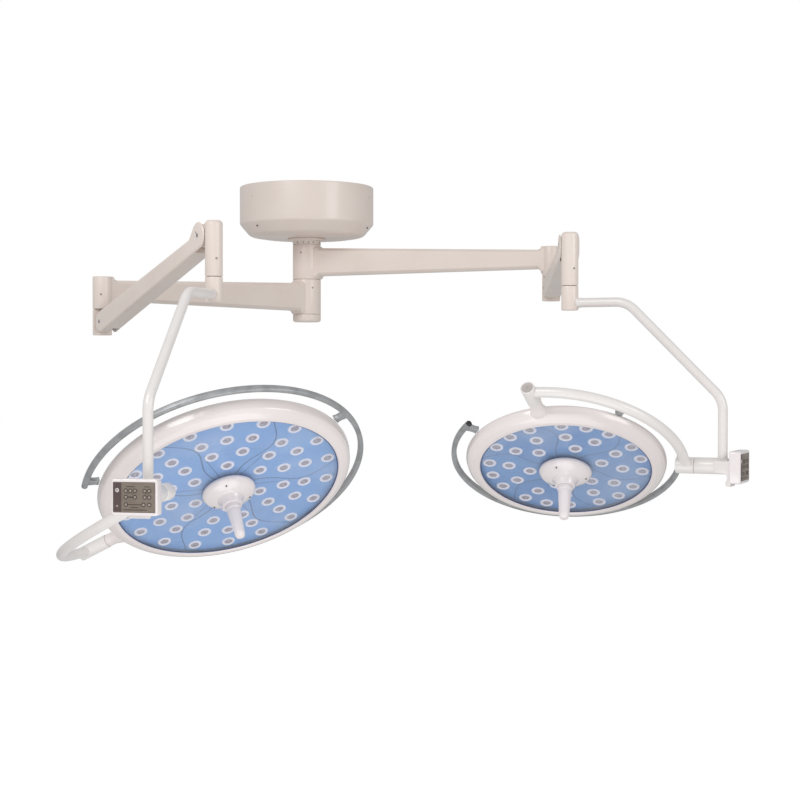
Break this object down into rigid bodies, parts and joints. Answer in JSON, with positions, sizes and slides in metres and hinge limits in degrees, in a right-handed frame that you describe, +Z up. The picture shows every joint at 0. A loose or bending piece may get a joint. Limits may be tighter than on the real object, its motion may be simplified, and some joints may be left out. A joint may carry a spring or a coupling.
{
  "type": "surgical light",
  "caption": "Ceiling-mounted surgical light: swinging extension arms on one column carry spring arms, bent yokes, gimbal arcs and round LED lamp heads with handrails and control boxes.",
  "frame": {"origin": "centre of the ceiling plate's upper face, on the column axis", "axes": "+Z up, column axis along Z; the two lamp heads hang in front, towards -Y; +X is to the right seen from the front"},
  "size_m": [1.8228, 1.9675, 1.1355],
  "materials": {
    "warm_white": "satin",
    "gloss_white": "gloss",
    "tube_white": "satin",
    "steel": "satin",
    "dark_steel": "satin",
    "nylon": "matte",
    "blue_lens": "gloss",
    "aluminium_board": "satin",
    "rail_grey": "satin",
    "panel_grey": "matte",
    "button_white": "matte"
  },
  "bodies": {
    "ceiling_base": {"ceiling_plate": "dark_steel", "spindle": "steel", "canopy": "warm_white", "canopy_collar": "warm_white", "spindle_nut": "steel", "spindle_cap": "warm_white"},
    "right_extension_arm_body": {"right_extension_arm": "warm_white", "right_hub_bush": "nylon", "right_elbow_pin": "steel"},
    "right_root_bracket_body": {"right_root_bracket": "warm_white", "right_root_pin": "steel"},
    "right_spring_arm_body": {"right_spring_arm_shell": "warm_white", "right_balance_spring": "dark_steel"},
    "right_level_bar_body": {"right_level_bar": "steel"},
    "right_end_hub_body": {"right_end_hub": "warm_white", "right_tip_pin": "steel"},
    "right_yoke_body": {"right_yoke": "tube_white", "right_swivel_pin": "steel", "right_axle_knuckle": "tube_white", "right_axle_pin": "steel", "right_control_box": "gloss_white", "right_control_panel": "panel_grey"},
    "right_power_button_body": {"right_power_button": "button_white"},
    "right_gimbal_arc_body": {"right_gimbal_arc": "tube_white", "right_pivot_cap": "panel_grey"},
    "right_lamp_head_body": {"right_lamp_rim": "gloss_white", "right_pivot_pin": "steel", "right_lens_plate": "blue_lens", "right_led_board": "aluminium_board", "right_lamp_housing": "gloss_white", "right_handrail": "rail_grey", "right_handle_hub": "gloss_white"},
    "right_handle_body": {"right_sterile_handle": "gloss_white"},
    "left_extension_arm_body": {"left_extension_arm": "warm_white", "left_hub_bush": "nylon", "left_elbow_pin": "steel"},
    "left_root_bracket_body": {"left_root_bracket": "warm_white", "left_root_pin": "steel"},
    "left_spring_arm_body": {"left_spring_arm_shell": "warm_white", "left_balance_spring": "dark_steel"},
    "left_level_bar_body": {"left_level_bar": "steel"},
    "left_end_hub_body": {"left_end_hub": "warm_white", "left_tip_pin": "steel"},
    "left_yoke_body": {"left_yoke": "tube_white", "left_swivel_pin": "steel", "left_axle_knuckle": "tube_white", "left_axle_pin": "steel", "left_control_box": "gloss_white", "left_control_panel": "panel_grey"},
    "left_power_button_body": {"left_power_button": "button_white"},
    "left_gimbal_arc_body": {"left_gimbal_arc": "tube_white", "left_pivot_cap": "panel_grey"},
    "left_lamp_head_body": {"left_lamp_rim": "gloss_white", "left_pivot_pin": "steel", "left_lens_plate": "blue_lens", "left_led_board": "aluminium_board", "left_lamp_housing": "gloss_white", "left_handrail": "rail_grey", "left_handle_hub": "gloss_white"},
    "left_handle_body": {"left_sterile_handle": "gloss_white"}
  },
  "joints": [
    {"name": "right_swing", "type": "hinge", "parent": "ceiling_base", "child": "right_extension_arm_body", "pos_m": [0, 0, -0.3066], "axis": [0, 0, 1], "range_deg": [-10, 165]},
    {"name": "right_elbow", "type": "hinge", "parent": "right_extension_arm_body", "child": "right_root_bracket_body", "pos_m": [0.7947, -0.27519, -0.3131], "axis": [0, 0, 1], "range_deg": [-36, 225]},
    {"name": "right_lift", "type": "hinge", "parent": "right_root_bracket_body", "child": "right_spring_arm_body", "pos_m": [0.79358, -0.31317, -0.3511], "axis": [0.9996, -0.0297, 0], "range_deg": [-35, 55]},
    {"name": "right_level_bar_turn", "type": "hinge", "parent": "right_root_bracket_body", "child": "right_level_bar_body", "pos_m": [0.79358, -0.31317, -0.3691], "axis": [0.9996, -0.0297, 0], "range_deg": [-35, 55]},
    {"name": "right_level", "type": "hinge", "parent": "right_spring_arm_body", "child": "right_end_hub_body", "pos_m": [0.77336, -0.99423, -0.27588], "axis": [0.9996, -0.0297, 0], "range_deg": [-55, 35]},
    {"name": "right_swivel", "type": "hinge", "parent": "right_end_hub_body", "child": "right_yoke_body", "pos_m": [0.77209, -1.03721, -0.38388], "axis": [0, 0, -1], "range_deg": [-160, 160]},
    {"name": "right_arc_tilt", "type": "hinge", "parent": "right_yoke_body", "child": "right_gimbal_arc_body", "pos_m": [0.76251, -1.03291, -0.86138], "axis": [0.9121, -0.4099, 0], "range_deg": [-120, 120]},
    {"name": "right_lamp_tilt", "type": "hinge", "parent": "right_gimbal_arc_body", "child": "right_lamp_head_body", "pos_m": [0.76251, -1.03291, -0.86138], "axis": [0.3426, 0.7624, -0.549], "range_deg": [-140, 2]},
    {"name": "right_focus_turn", "type": "hinge", "parent": "right_lamp_head_body", "child": "right_handle_body", "pos_m": [0.75582, -1.07609, -0.92551], "axis": [0.0861, 0.5564, 0.8264], "range_deg": [0, 120]},
    {"name": "right_button_press", "type": "slide", "parent": "right_yoke_body", "child": "right_power_button_body", "axis": [-0.9121, 0.4099, 0], "range_m": [0, 0.001], "stiffness_N_per_m": 600, "springref_m": -0.001},
    {"name": "left_swing", "type": "hinge", "parent": "ceiling_base", "child": "left_extension_arm_body", "pos_m": [0, 0, -0.4234], "axis": [0, 0, 1], "range_deg": [-165, 10]},
    {"name": "left_elbow", "type": "hinge", "parent": "left_extension_arm_body", "child": "left_root_bracket_body", "pos_m": [-0.57033, -0.61806, -0.4299], "axis": [0, 0, 1], "range_deg": [-225, 45]},
    {"name": "left_lift", "type": "hinge", "parent": "left_root_bracket_body", "child": "left_spring_arm_body", "pos_m": [-0.54947, -0.64982, -0.4679], "axis": [-0.8358, -0.549, 0], "range_deg": [-65, 25]},
    {"name": "left_level_bar_turn", "type": "hinge", "parent": "left_root_bracket_body", "child": "left_level_bar_body", "pos_m": [-0.54947, -0.64982, -0.4859], "axis": [-0.8358, -0.549, 0], "range_deg": [-65, 25]},
    {"name": "left_level", "type": "hinge", "parent": "left_spring_arm_body", "child": "left_end_hub_body", "pos_m": [-0.19034, -1.19655, -0.26291], "axis": [-0.8358, -0.549, 0], "range_deg": [-25, 65]},
    {"name": "left_swivel", "type": "hinge", "parent": "left_end_hub_body", "child": "left_yoke_body", "pos_m": [-0.16673, -1.23249, -0.37091], "axis": [0, 0, 1], "range_deg": [-160, 160]},
    {"name": "left_arc_tilt", "type": "hinge", "parent": "left_yoke_body", "child": "left_gimbal_arc_body", "pos_m": [-0.14694, -1.14469, -0.90091], "axis": [-0.2198, -0.9755, 0], "range_deg": [-120, 120]},
    {"name": "left_lamp_tilt", "type": "hinge", "parent": "left_gimbal_arc_body", "child": "left_lamp_head_body", "pos_m": [-0.14694, -1.14469, -0.90091], "axis": [-0.87, 0.1961, -0.4524], "range_deg": [-120, 120]},
    {"name": "left_focus_turn", "type": "hinge", "parent": "left_lamp_head_body", "child": "left_handle_body", "pos_m": [-0.12345, -1.19346, -0.96722], "axis": [-0.2745, 0.5697, 0.7746], "range_deg": [0, 120]},
    {"name": "left_button_press", "type": "slide", "parent": "left_yoke_body", "child": "left_power_button_body", "axis": [0.2198, 0.9755, 0], "range_m": [0, 0.001], "stiffness_N_per_m": 600, "springref_m": -0.001}
  ],
  "couplings": [
    {"joint": "right_level_bar_turn", "follows": "right_lift", "ratio": 1},
    {"joint": "right_level", "follows": "right_lift", "ratio": -1},
    {"joint": "left_level_bar_turn", "follows": "left_lift", "ratio": 1},
    {"joint": "left_level", "follows": "left_lift", "ratio": -1}
  ]
}
